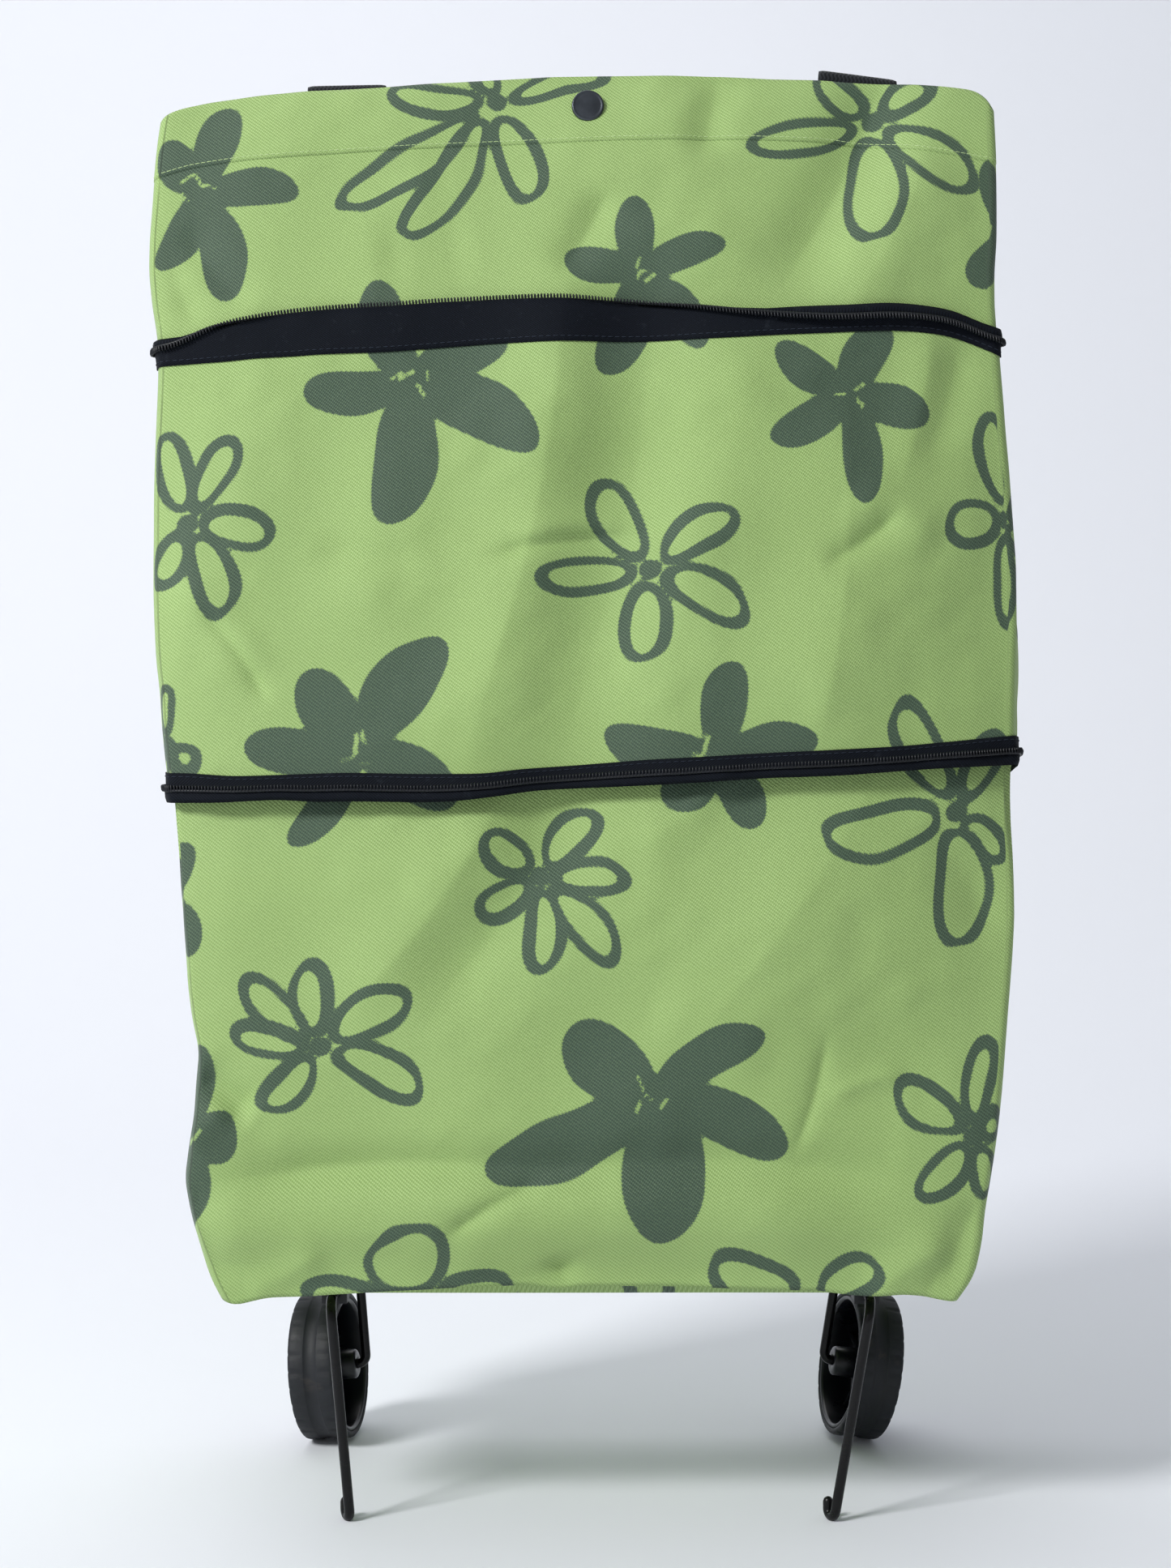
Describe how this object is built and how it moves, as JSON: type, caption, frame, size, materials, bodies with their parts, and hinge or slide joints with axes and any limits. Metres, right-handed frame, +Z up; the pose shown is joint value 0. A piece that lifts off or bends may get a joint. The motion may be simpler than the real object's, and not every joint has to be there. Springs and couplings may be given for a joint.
{
  "type": "folding shopping trolley bag",
  "caption": "Folding cloth shopping trolley: tall open bag in zipped storeys on two hinged wire side frames with wheels, webbing handles and a snap at the mouth.",
  "frame": {"origin": "centre of the foot of the bounding box, on the floor", "axes": "+Z up; the front panel with the snap cap faces -Y, the wheels and the rear handle are towards +Y"},
  "size_m": [0.3972, 0.1906, 0.6558],
  "materials": {
    "printed_cloth": "woven polyester Oxford cloth, light green with a dark grey-green flower print",
    "zip_tape": "woven tape, near black",
    "zip_coil": "nylon coil, satin black",
    "webbing": "ribbed polyester webbing, near black",
    "moulded_plastic": "moulded black plastic",
    "rivet_steel": "plain rivet steel",
    "snap_metal": "dark gunmetal",
    "zip_slider_metal": "black lacquered zinc",
    "coated_wire": "glossy black coated steel wire",
    "axle_cap": "black pressed steel cap",
    "wheel_plastic": "satin black moulded plastic",
    "tyre_rubber": "matte black with scuffs"
  },
  "bodies": {
    "base": {"base_board": "moulded_plastic", "base_bottom_cloth": "printed_cloth", "base_panel_front": "printed_cloth", "base_panel_back": "printed_cloth", "base_panel_left": "printed_cloth", "base_panel_right": "printed_cloth", "hinge_plate_left": "moulded_plastic", "hinge_plate_right": "moulded_plastic", "hinge_saddle_front_left": "moulded_plastic", "hinge_saddle_rear_left": "moulded_plastic", "hinge_saddle_front_right": "moulded_plastic", "hinge_saddle_rear_right": "moulded_plastic", "hinge_rivet_front_left": "rivet_steel", "hinge_rivet_rear_left": "rivet_steel", "hinge_rivet_front_right": "rivet_steel", "hinge_rivet_rear_right": "rivet_steel"},
    "frame_left": {"frame_wire_left": "coated_wire", "axle_cap_left": "axle_cap"},
    "frame_right": {"frame_wire_right": "coated_wire", "axle_cap_right": "axle_cap"},
    "wheel_left": {"wheel_left": "wheel_plastic", "tyre_left": "tyre_rubber"},
    "wheel_right": {"wheel_right": "wheel_plastic", "tyre_right": "tyre_rubber"},
    "mid": {"mid_panel_front": "printed_cloth", "mid_panel_back": "printed_cloth", "mid_panel_left": "printed_cloth", "mid_panel_right": "printed_cloth", "top_panel_front": "printed_cloth", "top_panel_back": "printed_cloth", "top_panel_left": "printed_cloth", "top_panel_right": "printed_cloth", "upper_zip_tape_front": "zip_tape", "upper_zip_tape_back": "zip_tape", "lower_zip_tape_front": "zip_tape", "lower_zip_tape_back": "zip_tape", "upper_zip_coil_front": "zip_coil", "upper_zip_coil_back": "zip_coil", "lower_zip_coil_front": "zip_coil", "lower_zip_coil_back": "zip_coil"},
    "mouth": {"hem_front": "printed_cloth", "hem_back": "printed_cloth", "hem_left": "printed_cloth", "hem_right": "printed_cloth", "snap_cap": "snap_metal", "snap_socket": "snap_metal", "snap_stud": "snap_metal", "snap_post": "snap_metal", "handle_rear_end_left": "webbing", "handle_rear_end_right": "webbing", "handle_front_end_left": "webbing", "handle_front_end_right": "webbing"},
    "handle_rear": {"handle_rear": "webbing"},
    "handle_front": {"handle_front": "webbing"},
    "upper_slider": {"upper_zip_slider": "zip_slider_metal"},
    "upper_pull": {"upper_zip_pull_tab": "zip_slider_metal"},
    "lower_slider": {"lower_zip_slider": "zip_slider_metal"},
    "lower_pull": {"lower_zip_pull_tab": "zip_slider_metal"}
  },
  "joints": [
    {"name": "base_section_tuck", "type": "slide", "parent": "base", "child": "mid", "axis": [0, 0, -1], "range_m": [0, 0.18], "deforming": ["base_panel_front", "base_panel_back", "base_panel_left", "base_panel_right"]},
    {"name": "top_section_tuck", "type": "slide", "parent": "mid", "child": "mouth", "axis": [0, 0, -1], "range_m": [0, 0.075], "deforming": ["top_panel_front", "top_panel_back", "top_panel_left", "top_panel_right"]},
    {"name": "frame_left_fold", "type": "hinge", "parent": "base", "child": "frame_left", "pos_m": [-0.10755, -0.01079, 0.0963], "axis": [0, -1, 0], "range_deg": [0, 80]},
    {"name": "frame_right_fold", "type": "hinge", "parent": "base", "child": "frame_right", "pos_m": [0.12845, -0.01079, 0.0963], "axis": [0, 1, 0], "range_deg": [0, 80]},
    {"name": "wheel_left_spin", "type": "hinge", "parent": "frame_left", "child": "wheel_left", "pos_m": [-0.12121, 0.05921, 0.03563], "axis": [-0.9824, 0.165, -0.0877], "continuous": true},
    {"name": "wheel_right_spin", "type": "hinge", "parent": "frame_right", "child": "wheel_right", "pos_m": [0.13754, 0.05921, 0.03613], "axis": [0.9725, 0.165, -0.1645], "continuous": true},
    {"name": "handle_rear_swing", "type": "hinge", "parent": "mouth", "child": "handle_rear", "pos_m": [0.01195, 0.07941, 0.6558], "axis": [1, 0, 0], "range_deg": [0, 180]},
    {"name": "handle_front_swing", "type": "hinge", "parent": "mouth", "child": "handle_front", "pos_m": [0.01195, 0.01561, 0.6404], "axis": [1, 0, 0], "range_deg": [0, 180], "deforming": ["handle_front"]},
    {"name": "upper_zip_slide", "type": "slide", "parent": "mid", "child": "upper_slider", "axis": [-1, 0, 0], "range_m": [0, 0.326]},
    {"name": "upper_pull_swing", "type": "hinge", "parent": "upper_slider", "child": "upper_pull", "pos_m": [0.17145, 0.08096, 0.53685], "axis": [0, 0, 1], "range_deg": [0, 160]},
    {"name": "lower_zip_slide", "type": "slide", "parent": "mid", "child": "lower_slider", "axis": [-1, 0, 0], "range_m": [0, 0.326]},
    {"name": "lower_pull_swing", "type": "hinge", "parent": "lower_slider", "child": "lower_pull", "pos_m": [0.17145, 0.08096, 0.30875], "axis": [0, 0, 1], "range_deg": [0, 160]}
  ]
}
